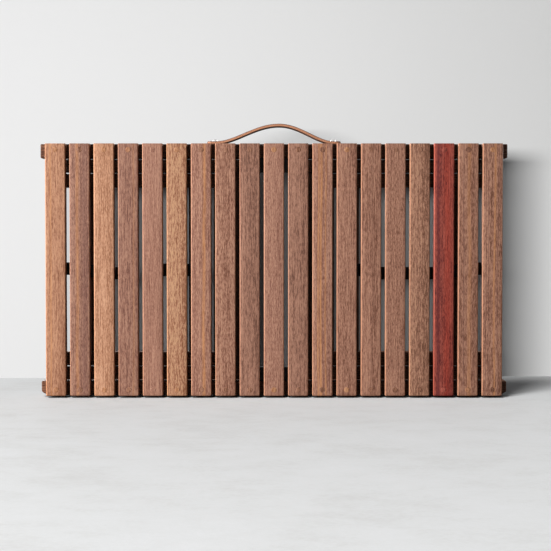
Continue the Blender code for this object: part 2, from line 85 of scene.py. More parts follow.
# Handle, thicker than its solid, so that its screws' crowns are also lifted above their solids
HANDLE_THICKNESS = 0.0060
HANDLE_SCREW_LIFT = 0.0023
HANDLE_HEAD_HEIGHT = 0.0050
HANDLE_EDGE_RADIUS = 0.0015
HANDLE_RISE = 0.0347
HANDLE_FULLNESS = 0.86
HANDLE_PEAK_X = 0.010
HANDLE_LEFT_RUN = 0.123
HANDLE_RIGHT_RUN = 0.107
HANDLE_END_ROUNDING = 0.009
HANDLE_END_NARROWING = 0.008
HANDLE_STATIONS = 120
HANDLE_SEAT_GAP = 0.0003
HANDLE_SLOPE_STEP = 0.0005
HANDLE_SMOOTH_ANGLE = 60.0

# Fasteners
BOLT_RADIUS = 0.003
BOLT_HEAD_RADIUS = 0.006
BOLT_HEAD_HEIGHT = 0.004
NUT_RADIUS = 0.0046
NUT_LENGTH = 0.013
NUT_FLANGE_RADIUS = 0.007
NUT_FLANGE_HEIGHT = 0.0016
WASHER_RADIUS = 0.0085
WASHER_HALF_THICKNESS = 0.0012
KEY_SOCKET_RADIUS = 0.0023
KEY_SOCKET_DEPTH = 0.0022
NUT_SOCKET_DEPTH = 0.004
SCREW_SLOT_HALF_WIDTH = 0.0005
SCREW_SLOT_SHARE = 0.42
HANDLE_SCREW_SHANK = 0.0021
STRAP_SCREW_SHANK = 0.0018
STRAP_SCREW_HEAD_HEIGHT = 0.0018
RAIL_BOLT_TO_WASHER = 0.0278
CROSS_BOLT_TO_WASHER = 0.0248
SCREW_TIP_RADIUS = 0.0006
SCREW_TIP_LENGTH = 0.002

# Straps
WEBBING_EDGE_RADIUS = 0.00065
WEBBING_END_LENGTH = 0.0006
WEBBING_END_INSET = 0.0004
STRAP_STATIONS = 24
STRAP_FIXED_LIFT = 0.0025
STRAP_LOOSE_DROP = 0.0065
SAG_LOW_X = 0.320
SAG_HIGH_X = 0.405
SLIDER_INSET = 0.012
SLIDER_CLEARANCE = 0.00015
SLIDER_EDGE = 0.0004
SLIDER_CORNER = 0.002
SLIDER_WINDOW_CORNER = 0.0008
SLIDER_LENGTH = 0.013
SLIDER_OVERHANG = 0.003
SLIDER_BAR = 0.0022
SLIDER_THICKNESS = 0.0018

# Camera, with its place as distances from the slats' faces and the floor
IMAGE_SIZE = 551
FOCAL_PIXELS = 1214.5
SENSOR_WIDTH = 36.0
CAMERA_DISTANCE = 2.40
CAMERA_SIDE = 0.003
CAMERA_HEIGHT = 0.3051
CAMERA_PITCH = math.radians(1.57)

# Room
WALL_DISTANCE = 0.348
WALL_TURN = math.radians(1.8)
WALL_HALF_LENGTH = 4.0
WALL_HEIGHT = 3.0
FLOOR_HALF_LENGTH = 14.0
FLOOR_DROP = 0.004

# Light: powers in watts, and for the world the strength at which white is 1
TABLE_MIDDLE = (0, 0, 0.25)
MANY_BOUNCES = 1024
WALL_POWER = 123.0
FLOOR_POWER = 122.0
CEILING_POWER = 790.0
TABLE_KEY_POWER = 212.0
TABLE_SIDE_POWER = 200.0
BEHIND_LEFT_POWER = 75.0
BEHIND_RIGHT_POWER = 50.0
WORLD_STRENGTH = 0.045


def daylight(red, green, blue):
    """A colour from its screen values of 0 to 255, as red, green, blue and alpha in linear light."""
    return (*[(value / 255) ** 2.2 for value in (red, green, blue)], 1.0)


def edge_highlight_colour(colour):
    """A redder and less blue colour, for a painted highlight on rounded wooden edges."""
    red, green, blue, alpha = colour
    return (red * 1.25, green * 1.05, blue * 0.85, alpha)


# Woods, each as its dark streaks, its body and its light streaks
Tone = namedtuple("Tone", "deep body pale")
HONEY = Tone(daylight(136, 89, 66), daylight(174, 124, 97), daylight(197, 146, 114))
SAND = Tone(daylight(155, 106, 79), daylight(196, 143, 112), daylight(217, 166, 134))
GOLD = Tone(daylight(138, 90, 64), daylight(178, 127, 100), daylight(203, 156, 120))
ROSE = Tone(daylight(131, 88, 74), daylight(171, 124, 104), daylight(195, 147, 123))
MAUVE = Tone(daylight(116, 78, 66), daylight(157, 113, 95), daylight(177, 133, 111))
UMBER = Tone(daylight(120, 79, 63), daylight(169, 122, 101), daylight(194, 147, 121))
GREY_BROWN = Tone(daylight(113, 78, 65), daylight(159, 115, 96), daylight(182, 135, 113))
RUSSET = Tone(daylight(117, 78, 62), daylight(166, 119, 99), daylight(192, 143, 118))
OLIVE = Tone(daylight(117, 80, 63), daylight(169, 122, 100), daylight(195, 147, 119))
PADAUK = Tone(daylight(94, 44, 43), daylight(156, 77, 65), daylight(184, 97, 82))
FRAME_WALNUT = Tone(daylight(74, 46, 34), daylight(112, 75, 57), daylight(138, 98, 76))
PLUG_PALE = Tone(daylight(150, 99, 68), daylight(188, 134, 99), daylight(206, 153, 116))
PLUG_BROWN = Tone(daylight(112, 74, 57), daylight(154, 109, 87), daylight(178, 130, 106))
PLUG_DARK = Tone(daylight(92, 60, 46), daylight(134, 92, 74), daylight(156, 110, 90))
PLUG_ORANGE = Tone(daylight(152, 100, 72), daylight(186, 132, 101), daylight(204, 152, 117))

GOLDEN_STREAK = daylight(206, 142, 92)
PURPLE_STREAK = daylight(112, 78, 74)
DARK_STREAK = daylight(90, 60, 50)
RED_STREAK = daylight(178, 62, 46)
WINE_STREAK = daylight(96, 44, 50)


class Graph:
    """The node tree of one new material, with short calls for its nodes."""

    def __init__(self, name):
        self.material = bpy.data.materials.new(name)
        self.material.use_nodes = True
        self.nodes = self.material.node_tree.nodes
        self.links = self.material.node_tree.links
        self.shader = self.nodes["Principled BSDF"]
        self.output = self.nodes["Material Output"]

    def put(self, socket, value):
        """Links a socket to another, or sets its value."""
        if isinstance(value, bpy.types.NodeSocket):
            self.links.new(value, socket)
        else:
            socket.default_value = value

    def add(self, kind, values, **settings):
        """A new node with these settings, and with values for its inputs by name or number."""
        node = self.nodes.new(kind)
        for name, value in settings.items():
            setattr(node, name, value)
        for name, value in values.items():
            self.put(node.inputs[name], value)
        return node

    def math(self, operation, first, second=0.0, third=0.0):
        return self.add("ShaderNodeMath", {0: first, 1: second, 2: third}, operation=operation).outputs[0]

    def vector(self, operation, first, second):
        return self.add("ShaderNodeVectorMath", {0: first, 1: second}, operation=operation).outputs[0]

    def length(self, vector):
        return self.add("ShaderNodeVectorMath", {0: vector}, operation="LENGTH").outputs["Value"]

    def object_place(self):
        return self.add("ShaderNodeTexCoord", {}).outputs["Object"]

    def split(self, vector):
        return self.add("ShaderNodeSeparateXYZ", {0: vector}).outputs

    def join(self, x, y, z):
        return self.add("ShaderNodeCombineXYZ", {0: x, 1: y, 2: z}).outputs[0]

    def noise(self, vector, density, detail=2.0, roughness=0.5):
        """Noise of 0 to 1 with so many features a metre along each axis."""
        scaled = self.vector("MULTIPLY", vector, density)
        values = {"Vector": scaled, "Scale": 1.0, "Detail": detail, "Roughness": roughness}
        return self.add("ShaderNodeTexNoise", values).outputs[0]

    def remap(self, value, low, high, to_low=0.0, to_high=1.0):
        values = {"Value": value, 1: low, 2: high, 3: to_low, 4: to_high}
        return self.add("ShaderNodeMapRange", values, interpolation_type="SMOOTHSTEP").outputs[0]

    def ramp(self, value, stops):
        """Colours between stops of (place, colour)."""
        node = self.add("ShaderNodeValToRGB", {0: value})
        elements = node.color_ramp.elements
        while len(elements) < len(stops):
            elements.new(1.0)
        for element, (place, colour) in zip(elements, stops):
            element.position = place
            element.color = colour
        return node.outputs[0]

    def blend(self, share, first, second):
        """A colour that goes from the first to the second as share goes from 0 to 1."""
        return self.add("ShaderNodeMix", {0: share, 6: first, 7: second}, data_type="RGBA").outputs[2]

    def bump(self, height, distance, rounding=0.0):
        """Relief with height 1 standing so many metres proud, and edges rounded by this radius."""
        node = self.add("ShaderNodeBump", {"Height": height, "Distance": distance, "Strength": 1.0})
        if rounding:
            rounded = self.add("ShaderNodeBevel", {"Radius": rounding}, samples=4)
            self.put(node.inputs["Normal"], rounded.outputs[0])
        self.put(self.shader.inputs["Normal"], node.outputs[0])

    def set(self, **values):
        for name, value in values.items():
            self.put(self.shader.inputs[name.replace("_", " ")], value)


# A streak that runs along the grain: its place across the grain and its width in metres
Streak = namedtuple("Streak", "place width colour share")


def wood(
    name, tone, along, centre, seed, pith,
    lean=0.0, ring=0.003, flecks=1.0, rings=1.0, streaks=(), rounding=0.0, painted_edge_highlight=None,
):
    """Oiled wood cut from a trunk, so that its figure runs round the edges, with a darker end grain.

    along is the grain's axis. pith is where the trunk's middle lies from centre, across the grain and in
    depth.
    lean is how far the trunk's middle drifts in depth for each metre along the grain.
    The last argument is the colour of a painted highlight on the rounded edges, for a piece whose edges run
    along Z.
    """
    graph = Graph(name)
    local = graph.vector("SUBTRACT", graph.object_place(), centre)
    x, y, z = graph.split(local)
    across, depth, length = {"z": (x, y, z), "x": (z, y, x), "y": (x, z, y)}[along]
    grain = graph.join(across, depth, length)
    shifted = graph.vector("ADD", grain, (seed * 1.37, seed * 0.71, seed * 2.13))

    sway = graph.noise(shifted, (14, 14, 3.5), 2.0)
    waver = graph.math("MULTIPLY", graph.math("SUBTRACT", sway, 0.5), 0.010)
    bent_across = graph.math("ADD", across, waver)
    drift = graph.math("MULTIPLY", length, lean)
    from_pith = graph.join(
        graph.math("SUBTRACT", bent_across, pith[0]),
        graph.math("SUBTRACT", graph.math("SUBTRACT", depth, pith[1]), drift),
        0.0,
    )
    years = graph.math("DIVIDE", graph.length(from_pith), ring)
    season = graph.math("FRACT", years)
    late_wood = graph.remap(season, 0.35, 0.97)
    year_strength = graph.noise(shifted, (260, 260, 3), 1.0)
    late_wood = graph.math("MULTIPLY", late_wood, graph.remap(year_strength, 0.35, 0.65, 0.35, 1.0))

    broad = graph.noise(shifted, (60, 60, 2.4), 2.0)
    lines = graph.noise(shifted, (540, 540, 20), 2.0, 0.6)
    dashes = graph.noise(shifted, (640, 640, 150), 2.0, 0.66)
    flecks_dark = graph.remap(graph.noise(shifted, (760, 760, 60), 1.0), 0.58, 0.74)
    pores = graph.noise(shifted, (1900, 1900, 130), 1.0)
    pores = graph.remap(pores, 0.60, 0.72)

    level = graph.math("MULTIPLY_ADD", broad, 0.55, 0.25)
    for value, weight in ((lines, 1.30), (dashes, 1.45 * flecks)):
        centred = graph.math("SUBTRACT", value, 0.5)
        level = graph.math("ADD", level, graph.math("MULTIPLY", centred, weight))
    level = graph.math("SUBTRACT", level, graph.math("MULTIPLY", flecks_dark, 0.30 * flecks))
    level = graph.math("SUBTRACT", level, graph.math("MULTIPLY", late_wood, 0.22 * rings))
    colour = graph.ramp(level, [(0.18, tone.deep), (0.50, tone.body), (0.82, tone.pale)])

    for streak in streaks:
        away = graph.math("ABSOLUTE", graph.math("SUBTRACT", bent_across, streak.place))
        share = graph.remap(away, 0.0, streak.width, streak.share, 0.0)
        share = graph.math("MULTIPLY", share, graph.remap(lines, 0.30, 0.60, 0.45, 1.0))
        colour = graph.blend(share, colour, streak.colour)
    colour = graph.blend(graph.math("MULTIPLY", pores, 0.45), colour, tone.deep)

    facing = graph.split(graph.add("ShaderNodeTexCoord", {}).outputs["Normal"])
    end_axis = {"x": 0, "y": 1, "z": 2}[along]
    end_grain = graph.remap(graph.math("ABSOLUTE", facing[end_axis]), 0.7, 0.95, 0.0, 0.55)
    colour = graph.blend(end_grain, colour, tone.deep)
    # Painted highlight: the rounded edges are painted lighter and warmer, and the flat faces and sides are
    # not.
    if painted_edge_highlight:
        turned_away = graph.math("ABSOLUTE", facing[0])
        rounded = graph.remap(turned_away, 0.20, 0.65, 0.0, 0.75)
        flat_side = graph.remap(turned_away, 0.95, 0.995)
        rounded = graph.math("MULTIPLY", rounded, graph.math("SUBTRACT", 1.0, flat_side))
        colour = graph.blend(rounded, colour, painted_edge_highlight)

    graph.set(Base_Color=colour)
    gloss = graph.math("ADD", graph.math("MULTIPLY", dashes, 0.18), graph.math("MULTIPLY", pores, 0.12))
    graph.set(Roughness=graph.math("ADD", gloss, 0.38))
    graph.set(Specular_IOR_Level=0.2)
    relief = graph.math("SUBTRACT", graph.math("MULTIPLY", lines, 0.35), pores)
    graph.bump(graph.math("ADD", relief, graph.math("MULTIPLY", dashes, 0.5)), 0.00012, rounding)
    return graph.material


def object_from(name, form, material, smooth_angle=SMOOTH_ANGLE):
    """A piece from a bmesh, smooth except at edges sharper than an angle in degrees."""
    bmesh.ops.recalc_face_normals(form, faces=form.faces)
    data = bpy.data.meshes.new(name)
    form.to_mesh(data)
    form.free()
    data.shade_smooth()
    data.set_sharp_from_angle(angle=math.radians(smooth_angle))
    made = bpy.data.objects.new(name, data)
    bpy.context.scene.collection.objects.link(made)
    made.data.materials.append(material)
    return made


def skin(form, rings):
    """Faces between rings of equally many points and over both ends, added to a bmesh."""
    loops = [[form.verts.new(point) for point in ring] for ring in rings]
    count = len(loops[0])
    for first, second in zip(loops, loops[1:]):
        for step in range(count):
            following = (step + 1) % count
            form.faces.new((first[step], first[following], second[following], second[step]))
    form.faces.new(loops[0])
    form.faces.new(loops[-1])


def rounded_rectangle(half_x, half_y, radius, steps):
    """Points round a rectangle with rounded corners."""
    points = []
    for corner in range(4):
        start = corner * math.pi / 2
        middle_x = (half_x - radius) * (1 if corner in (0, 3) else -1)
        middle_y = (half_y - radius) * (1 if corner in (0, 1) else -1)
        for step in range(steps + 1):
            angle = start + math.pi / 2 * step / steps
            points.append((middle_x + radius * math.cos(angle), middle_y + radius * math.sin(angle)))
    return points


def turned(profile, sides):
    """A bmesh of a round solid about Z from (radius, height) pairs."""
    form = bmesh.new()
    rings = []
    for radius, height in profile:
        angles = [2 * math.pi * step / sides for step in range(sides)]
        rings.append([Vector((radius * math.cos(a), radius * math.sin(a), height)) for a in angles])
    skin(form, rings)
    return form


def pointing(form, place, direction):
    """Turns a bmesh that stands on +Z to a direction and moves it to a place."""
    turn = Vector((0, 0, 1)).rotation_difference(Vector(direction)).to_matrix().to_4x4()
    form.transform(Matrix.Translation(Vector(place)) @ turn)
    return form


def cut(piece, forms):
    """Cuts bmesh solids from a piece for good."""
    helpers = []
    for number, form in enumerate(forms):
        data = bpy.data.meshes.new(f"{piece.name}_cutter_{number}")
        bmesh.ops.recalc_face_normals(form, faces=form.faces)
        form.to_mesh(data)
        form.free()
        helper = bpy.data.objects.new(data.name, data)
        bpy.context.scene.collection.objects.link(helper)
        boolean = piece.modifiers.new("cut", "BOOLEAN")
        boolean.operation = "DIFFERENCE"
        boolean.solver = "EXACT"
        boolean.object = helper
        helpers.append(helper)
    bpy.context.view_layer.update()
    evaluated = piece.evaluated_get(bpy.context.evaluated_depsgraph_get())
    finished = bpy.data.meshes.new_from_object(evaluated)
    piece.modifiers.clear()
    piece.data = finished
    finished.shade_smooth()
    finished.set_sharp_from_angle(angle=math.radians(SMOOTH_ANGLE))
    for helper in helpers:
        bpy.data.objects.remove(helper)


# What each slat looks like: its wood, where its trunk's middle lay in millimetres and how much that leaned,
# how strong its flecks and rings are, its streaks, and its plugs' wood, with a lower one if that differs
Look = namedtuple("Look", "tone pith lean flecks rings streaks plug lower_plug", defaults=[None])
MM = 0.001
SLAT_LOOKS = [
    Look(HONEY, (90, 40), 0.02, 1.0, 0.5, [Streak(-9 * MM, 3 * MM, GOLDEN_STREAK, 0.45)], PLUG_PALE),
    Look(MAUVE, (70, 30), 0.03, 1.3, 1.0, [
        Streak(8 * MM, 7 * MM, PURPLE_STREAK, 0.45),
        Streak(-5 * MM, 5 * MM, GOLDEN_STREAK, 0.50),
        Streak(2 * MM, 1.2 * MM, DARK_STREAK, 0.5),
        Streak(13 * MM, 1.2 * MM, PURPLE_STREAK, 0.6),
    ], PLUG_BROWN),
    Look(SAND, (-80, 50), 0.02, 1.0, 0.5, [], PLUG_PALE),
    Look(MAUVE, (110, 30), 0.01, 1.0, 0.6, [
        Streak(10 * MM, 3 * MM, GOLDEN_STREAK, 0.25),
    ], PLUG_ORANGE, PLUG_BROWN),
    Look(ROSE, (-100, 60), 0.02, 0.8, 0.5, [], ROSE),
    Look(GOLD, (60, 70), 0.04, 1.5, 0.2, [], PLUG_PALE),
    Look(ROSE, (120, 20), 0.01, 1.2, 0.7, [
        Streak(2 * MM, 1.0 * MM, DARK_STREAK, 0.65),
        Streak(6 * MM, 5.5 * MM, GOLDEN_STREAK, 0.70),
    ], PLUG_BROWN),
    Look(UMBER, (4, 45), 0.10, 1.1, 0.5, [], PLUG_BROWN),
    Look(GREY_BROWN, (-90, 40), 0.02, 1.0, 0.5, [], PLUG_BROWN),
    Look(ROSE, (130, 40), 0.01, 1.1, 0.4, [], PLUG_PALE),
    Look(GREY_BROWN, (-70, 60), 0.03, 1.0, 0.4, [], PLUG_BROWN),
    Look(ROSE, (100, 20), 0.01, 1.2, 1.0, [
        Streak(-9 * MM, 2.5 * MM, GOLDEN_STREAK, 0.7),
        Streak(-4 * MM, 3.5 * MM, GOLDEN_STREAK, 0.8),
        Streak(0 * MM, 1.2 * MM, DARK_STREAK, 0.3),
        Streak(5 * MM, 2.5 * MM, GOLDEN_STREAK, 0.6),
    ], PLUG_BROWN),
    Look(RUSSET, (-110, 40), 0.02, 1.0, 0.5, [], PLUG_PALE),
    Look(RUSSET, (80, 50), 0.02, 1.0, 0.8, [Streak(3 * MM, 4 * MM, DARK_STREAK, 0.30)], PLUG_BROWN),
    Look(RUSSET, (-60, 70), 0.03, 1.2, 0.5, [], PLUG_BROWN),
    Look(OLIVE, (3, 50), 0.08, 1.2, 0.6, [], PLUG_BROWN),
    Look(PADAUK, (140, 30), 0.01, 1.0, 0.4, [
        Streak(7 * MM, 12 * MM, RED_STREAK, 0.40),
        Streak(-11 * MM, 6 * MM, WINE_STREAK, 0.80),
        Streak(-3.6 * MM, 1.5 * MM, WINE_STREAK, 0.55),
    ], PADAUK),
    Look(RUSSET, (-5, 40), -0.10, 1.0, 1.0, [
        Streak(-9 * MM, 1.6 * MM, PURPLE_STREAK, 0.6),
        Streak(2 * MM, 6 * MM, GOLDEN_STREAK, 0.40),
    ], PLUG_DARK, PLUG_ORANGE),
    Look(RUSSET, (80, 60), 0.03, 1.3, 0.6, [
        Streak(4 * MM, 3.5 * MM, GOLDEN_STREAK, 0.60),
        Streak(-13 * MM, 1.2 * MM, PURPLE_STREAK, 0.65),
        Streak(-8 * MM, 1.2 * MM, PURPLE_STREAK, 0.55),
        Streak(11 * MM, 1.5 * MM, PURPLE_STREAK, 0.60),
    ], PLUG_PALE, PLUG_DARK),
]


def build_slat(number, look):
    """A slat with rounded edges, and with a plug over the screw at each of its ends."""
    node = f"slat_{number:02d}"
    low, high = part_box(node)
    front = low.y + PLUG_RISE
    middle = Vector(((low.x + high.x) / 2, (front + high.y) / 2, 0))
    half_x = (high.x - low.x) / 2
    half_y = (high.y - front) / 2
    rings = []
    for height, inset in (
        (low.z, SLAT_FOOT_RADIUS),
        (low.z + SLAT_FOOT_RADIUS * 0.08, SLAT_FOOT_RADIUS * 0.62),
        (low.z + SLAT_FOOT_RADIUS * 0.3, SLAT_FOOT_RADIUS * 0.3),
        (low.z + SLAT_FOOT_RADIUS * 0.62, SLAT_FOOT_RADIUS * 0.08),
        (low.z + SLAT_FOOT_RADIUS, 0.0),
        (high.z - SLAT_TOP_RADIUS, 0.0),
        (high.z - SLAT_TOP_RADIUS * 0.3, SLAT_TOP_RADIUS * 0.3),
        (high.z, SLAT_TOP_RADIUS),
    ):
        radius = max(SLAT_EDGE_RADIUS - inset, SLAT_LEAST_RADIUS)
        outline = rounded_rectangle(half_x - inset, half_y - inset, radius, SLAT_CORNER_STEPS)
        rings.append([middle + Vector((x, y, height)) for x, y in outline])
    form = bmesh.new()
    skin(form, rings)
    centre = (middle.x, front, (low.z + high.z) / 2)
    pith = (look.pith[0] * MM, look.pith[1] * MM)
    finish = wood(
        f"{node}_wood", look.tone, "z", centre, number, pith,
        lean=look.lean, flecks=look.flecks, rings=look.rings, streaks=look.streaks,
        painted_edge_highlight=edge_highlight_colour(look.tone.pale),
    )
    slat = object_from(f"{node}_board", form, finish)

    holes = []
    for end, height in (("lower", low.z + PLUG_INSET), ("upper", high.z - PLUG_INSET)):
        place = (middle.x, front, height)
        hole_radius = PLUG_RADIUS + PLUG_GAP
        hole = turned([(hole_radius, -CUT_MARGIN), (hole_radius, PLUG_DEPTH)], PLUG_SIDES)
        holes.append(pointing(hole, place, (0, 1, 0)))
        tone = look.lower_plug if end == "lower" and look.lower_plug else look.plug
        build_plug(f"{node}_plug_{end}", place, tone, number + height)
    cut(slat, holes)
    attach(slat, "tabletop")
    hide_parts(node)


def build_plug(name, place, tone, seed):
    """A wood plug, a little domed, that stands just proud of its slat."""
    rim = PLUG_RADIUS
    profile = [
        (rim * 0.35, -PLUG_RISE),
        (rim * 0.75, -PLUG_RISE * 0.85),
        (rim * 0.94, -PLUG_RISE * 0.45),
        (rim, PLUG_RISE * 0.3),
        (rim, PLUG_DEPTH * 0.9),
    ]
    form = pointing(turned(profile, PLUG_SIDES), place, (0, 1, 0))
    finish = wood(f"{name}_wood", tone, "z", place, seed * 3.1, (0.03, 0.02), flecks=1.1, rings=0.6)
    plug = object_from(name, form, finish)
    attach(plug, "tabletop")


def build_slats():
    """All slats, from the first look at -X to the last at +X."""
    for number, look in enumerate(SLAT_LOOKS, start=1):
        build_slat(number, look)


def dress_frame():
    """Wood on the rails, legs and crossbars, whose solids already have their shapes."""
    grains = {"rail": "x", "leg": "x", "bar": "z"}
    for number, (name, node) in enumerate(sorted(frame["nodes"].items())):
        part = next((word for word in grains if word in name.split("_")), None)
        if part is None or "catch" in name or "pivot" in name:
            continue
        low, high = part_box(name)
        centre = tuple((low + high) / 2)
        finish = wood(
            f"{name}_wood", FRAME_WALNUT, grains[part], centre, 31 + number * 1.7,
            (0.07 + 0.01 * (number % 5), 0.04), lean=0.02, flecks=0.9, rings=0.7, rounding=0.0012,
        )
        node.data.materials.clear()
        node.data.materials.append(finish)


def leather(name, surface, worn, core):
    """Vegetable-tanned leather: a creased and rubbed surface with painted shade in its creases, and a pale
    core at the cut edge.

    The mesh's layer attribute runs from 0 halfway through the leather to 1 at its surfaces.
    """
    graph = Graph(name)
    place = graph.object_place()
    clouds = graph.noise(place, (55, 55, 55), 4.0, 0.6)
    cells = graph.add("ShaderNodeTexVoronoi", {"Vector": place, "Scale": 900.0}, feature="DISTANCE_TO_EDGE")
    creases = graph.remap(cells.outputs[0], 0.0, 0.22)
    fine = graph.noise(place, (2600, 2600, 2600), 2.0)
    wrinkles = graph.noise(place, (240, 30, 30), 2.0)
    level = graph.math("ADD", graph.math("MULTIPLY", clouds, 0.7), graph.math("MULTIPLY", wrinkles, 0.3))
    skin_colour = graph.ramp(level, [(0.30, surface), (0.72, worn)])
    # Painted shade: the creases are painted darker as well as bumped.
    skin_colour = graph.blend(graph.remap(creases, 0.0, 1.0, 0.28, 0.0), skin_colour, daylight(60, 36, 26))
    fibres = graph.noise(place, (700, 90, 2600), 3.0, 0.6)
    core_colour = graph.blend(graph.remap(fibres, 0.35, 0.75, 0.0, 0.6), core, worn)
    layer = graph.add("ShaderNodeAttribute", {}, attribute_name="layer").outputs["Fac"]
    burnished = graph.remap(layer, 0.50, 0.74)
    graph.set(Base_Color=graph.blend(burnished, core_colour, skin_colour))
    graph.set(Roughness=graph.remap(clouds, 0.3, 0.7, 0.40, 0.58), Specular_IOR_Level=0.45)
    relief = graph.math("ADD", graph.math("MULTIPLY", creases, 0.7), graph.math("MULTIPLY", fine, 0.3))
    graph.bump(relief, 0.00018)
    return graph.material


def steel(name, tint, spin_axis="z"):
    """Turned steel with fine tool marks round its axis, faint stains and worn edges."""
    graph = Graph(name)
    place = graph.object_place()
    marks = graph.noise(place, {"z": (90, 90, 5200), "y": (90, 5200, 90)}[spin_axis], 2.0)
    stains = graph.noise(place, (420, 420, 420), 3.0, 0.6)
    dull = daylight(*[value * 0.82 for value in tint])
    graph.set(Base_Color=graph.ramp(stains, [(0.34, dull), (0.62, daylight(*tint))]), Metallic=1.0)
    rough = graph.math("ADD", graph.math("MULTIPLY", stains, 0.20), graph.math("MULTIPLY", marks, 0.12))
    graph.set(Roughness=graph.math("ADD", rough, 0.14))
    graph.bump(marks, 0.00003, 0.0003)
    return graph.material


def webbing(name):
    """Black polyester webbing: ribs along it, crossed by its weft, with fuzz, a little dust, and painted
    shade in the grooves of its weave.
    """
    graph = Graph(name)
    place = graph.object_place()
    x, y, z = graph.split(place)
    rib = graph.math("MULTIPLY", z, 2 * math.pi / 0.0021)
    half_turn = graph.math("MULTIPLY", graph.math("SIGN", graph.math("SINE", rib)), math.pi / 2)
    weft = graph.math("ADD", graph.math("MULTIPLY", x, 2 * math.pi / 0.0016), half_turn)
    ribs = graph.math("ABSOLUTE", graph.math("SINE", rib))
    knots = graph.math("MULTIPLY_ADD", graph.math("SINE", weft), 0.5, 0.5)
    height = graph.math("MULTIPLY", ribs, graph.math("MULTIPLY_ADD", knots, 0.6, 0.4))
    fuzz = graph.noise(place, (3000, 3000, 3000), 2.0)
    dust = graph.noise(place, (120, 120, 120), 4.0, 0.6)
    # Painted shade and highlight: the weave's raised parts are painted lighter and its grooves darker.
    level = graph.math("ADD", graph.math("MULTIPLY", height, 0.55), graph.math("MULTIPLY", fuzz, 0.25))
    level = graph.math("ADD", level, graph.math("MULTIPLY", dust, 0.20))
    graph.set(Base_Color=graph.ramp(level, [(0.15, daylight(12, 12, 14)), (0.85, daylight(58, 57, 58))]))
    graph.set(Roughness=graph.remap(dust, 0.3, 0.7, 0.62, 0.85), Sheen_Weight=0.25, Specular_IOR_Level=0.3)
    graph.bump(height, 0.0003)
    return graph.material


def rubber(name):
    """Black moulded rubber with a fine spark texture and a dusty bloom."""
    graph = Graph(name)
    place = graph.object_place()
    grain = graph.noise(place, (2200, 2200, 2200), 2.0)
    bloom = graph.noise(place, (150, 150, 150), 4.0, 0.62)
    graph.set(Base_Color=graph.ramp(bloom, [(0.35, daylight(26, 26, 27)), (0.75, daylight(56, 55, 54))]))
    graph.set(Roughness=graph.remap(bloom, 0.3, 0.7, 0.55, 0.78), Specular_IOR_Level=0.35)
    graph.bump(grain, 0.00008, 0.001)
    return graph.material


def handle_height(x):
    """How far the handle's underside is above the rail."""
    run = HANDLE_LEFT_RUN if x < HANDLE_PEAK_X else HANDLE_RIGHT_RUN
    share = abs(x - HANDLE_PEAK_X) / run
    if share >= 1:
        return HANDLE_SEAT_GAP
    return HANDLE_SEAT_GAP + HANDLE_RISE * (0.5 + 0.5 * math.cos(math.pi * share)) ** HANDLE_FULLNESS


def build_handle():
    """A leather strap with softly rounded edges, bent up between its two screws."""
    low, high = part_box("handle_strap")
    half_length = (high.x - low.x) / 2
    middle = (low + high) / 2
    full_half = (high.y - low.y) / 2
    places = [half_length * (2 * step / HANDLE_STATIONS - 1) for step in range(HANDLE_STATIONS + 1)]
    for share in (0.004, 0.02, 0.06, 0.12, 0.2, 0.3, 0.4, 0.55, 0.7, 0.85):
        places += [side * (half_length - HANDLE_END_ROUNDING * share) for side in (-1, 1)]
    places.sort()
    form = bmesh.new()
    rings = []
    layers = []
    for x in places:
        step = HANDLE_SLOPE_STEP
        slope = (handle_height(x + step) - handle_height(x - step)) / (2 * step)
        across = Vector((-slope, 0, 1)).normalized()
        share = min(max(abs(x) - (half_length - HANDLE_END_ROUNDING), 0) / HANDLE_END_ROUNDING, 1)
        half_width = full_half - HANDLE_END_NARROWING * (1 - math.sqrt(1 - share * share))
        end_thinning = 0.25 * HANDLE_THICKNESS * max(share - 0.8, 0) / 0.2
        half_thickness = HANDLE_THICKNESS / 2 - end_thinning
        core = Vector((x, middle.y, low.z + handle_height(x) - handle_height(low.x)))
        core += across * HANDLE_THICKNESS / 2
        outline = rounded_rectangle(half_width, half_thickness, HANDLE_EDGE_RADIUS - end_thinning, 4)
        ring = []
        for y, height in outline:
            ring.append(core + Vector((0, y, 0)) + across * height)
            layers.append(abs(height) / half_thickness)
        rings.append(ring)
    skin(form, rings)
    finish = leather("saddle_leather", daylight(74, 45, 33), daylight(110, 69, 49), daylight(210, 144, 107))
    handle = object_from("carry_handle", form, finish, smooth_angle=HANDLE_SMOOTH_ANGLE)
    layer = handle.data.attributes.new("layer", "FLOAT", "POINT")
    layer.data.foreach_set("value", layers)
    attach(handle, "tabletop")
    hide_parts("handle_strap")


def body_of(node):
    """The name of the body that a node belongs to."""
    return frame["nodes"][node].parent.name.removeprefix("body:")


def dome(radius, height):
    """A domed head from its crown to its rim, as (radius, depth below the crown) pairs."""
    steps = 9
    points = [(radius * 0.12, 0.0)]
    for step in range(1, steps + 1):
        angle = math.pi / 2 * step / steps
        points.append((radius * math.sin(angle) * 0.985, height * 0.8 * (1 - math.cos(angle))))
    points.append((radius, height * 0.86))
    points.append((radius, height * 0.96))
    points.append((radius * 0.97, height))
    return points


def fastener(name, node, profile, place, direction, finish, sockets):
    """A turned piece that stands in for a node, with its drive cut into it."""
    form = pointing(turned(profile, ROUND_SIDES), place, direction)
    piece = object_from(name, form, finish)
    cut(piece, [pointing(socket, place, direction) for socket in sockets])
    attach(piece, body_of(node))
    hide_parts(node)


def hex_socket(depth):
    """The six-sided hole for a key, cut down from a crown."""
    return turned([(KEY_SOCKET_RADIUS, -SMALL_MARGIN), (KEY_SOCKET_RADIUS, depth)], 6)


def slot_cutter(half_length, half_width, depth):
    """The straight slot of a screw, cut down from its crown."""
    form = bmesh.new()
    corners = [(-half_length, -half_width), (half_length, -half_width)]
    corners += [(half_length, half_width), (-half_length, half_width)]
    skin(form, [[Vector((x, y, height)) for x, y in corners] for height in (-CUT_MARGIN, depth)])
    return form


